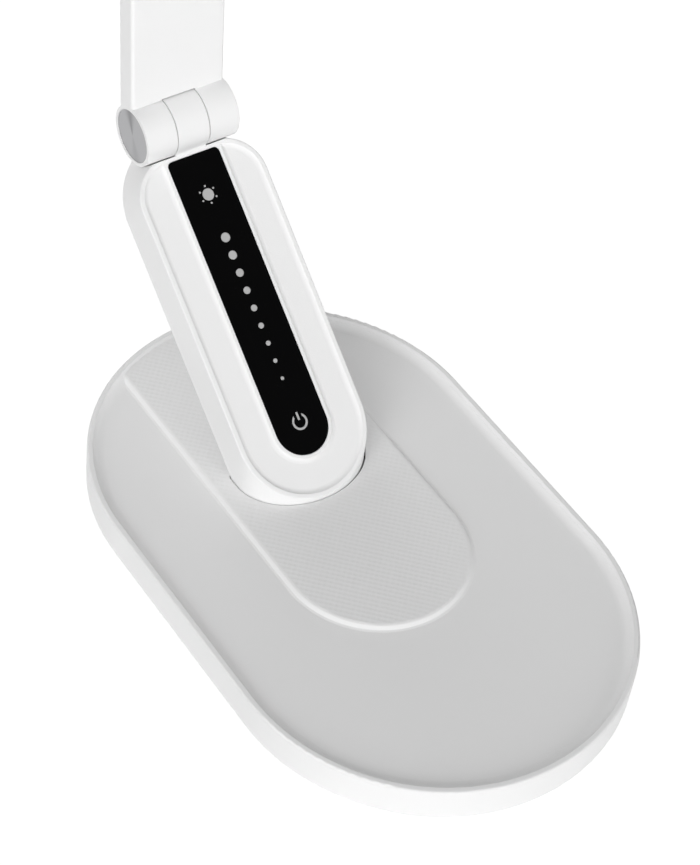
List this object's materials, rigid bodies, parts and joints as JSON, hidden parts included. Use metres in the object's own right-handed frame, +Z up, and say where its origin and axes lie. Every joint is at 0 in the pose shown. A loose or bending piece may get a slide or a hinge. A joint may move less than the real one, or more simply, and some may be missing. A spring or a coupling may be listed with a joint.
{
  "type": "folding led desk lamp",
  "caption": "Folding desk lamp: a slot-shaped tray base, a leaning stem with a touch panel, a swing arm on a barrel hinge and a tilting slim light head.",
  "frame": {"origin": "centre of the slot-shaped base on the desk plane that its rubber mat rests on", "axes": "+Z up; the front of the lamp, where the light head reaches, is -Y; +X is the right-hand side seen from the front"},
  "size_m": [0.13, 0.241, 0.3455],
  "materials": {
    "tray": "satin",
    "white_plastic": "satin",
    "plate": "matte",
    "iron": "matte",
    "rubber": "matte",
    "screw_steel": "satin",
    "port_metal": "satin",
    "circuit": "matte",
    "wire": "matte",
    "black_lens": "gloss",
    "marks": "matte",
    "pads": "satin",
    "pin_steel": "satin",
    "friction": "matte",
    "cap_metal": "satin",
    "strip_steel": "satin",
    "heat_alu": "satin",
    "diffuser": "satin",
    "led": "gloss"
  },
  "bodies": {
    "base": {"base_tray": "tray", "bottom_plate": "plate", "counterweight": "iron", "rubber_mat": "rubber", "base_screws": "screw_steel", "weight_screws": "screw_steel", "stem_screws": "screw_steel", "power_inlet": "port_metal", "inlet_board": "circuit", "base_cable": "wire", "stem_body": "white_plastic", "stem_cover": "white_plastic", "cover_screws": "screw_steel", "touch_lens": "black_lens", "panel_marks": "marks", "control_board": "circuit", "touch_pads": "pads", "stem_cable": "wire", "hinge_pin": "pin_steel", "hinge_nut": "pin_steel", "hinge_spring_washers": "pin_steel", "friction_washers": "friction"},
    "arm": {"arm_body": "white_plastic", "arm_cover": "white_plastic", "arm_cover_screws": "screw_steel", "arm_strip": "strip_steel", "arm_cable": "wire", "hinge_cap_left": "cap_metal", "hinge_cap_right": "cap_metal", "tip_pin": "pin_steel", "tip_nut": "pin_steel", "tip_washers": "pin_steel", "tip_cap_left": "cap_metal", "tip_cap_right": "cap_metal"},
    "head": {"head_housing": "white_plastic", "head_frame": "white_plastic", "head_screws": "screw_steel", "diffuser": "diffuser", "heat_plate": "heat_alu", "led_board": "circuit", "leds": "led", "head_cable": "wire"}
  },
  "joints": [
    {"name": "arm_fold", "type": "hinge", "parent": "base", "child": "arm", "pos_m": [0, 0.11448, 0.09296], "axis": [1, 0, 0], "range_deg": [-35, 105]},
    {"name": "head_tilt", "type": "hinge", "parent": "arm", "child": "head", "pos_m": [0, 0.12997, 0.33246], "axis": [1, 0, 0], "range_deg": [-45, 86]}
  ]
}
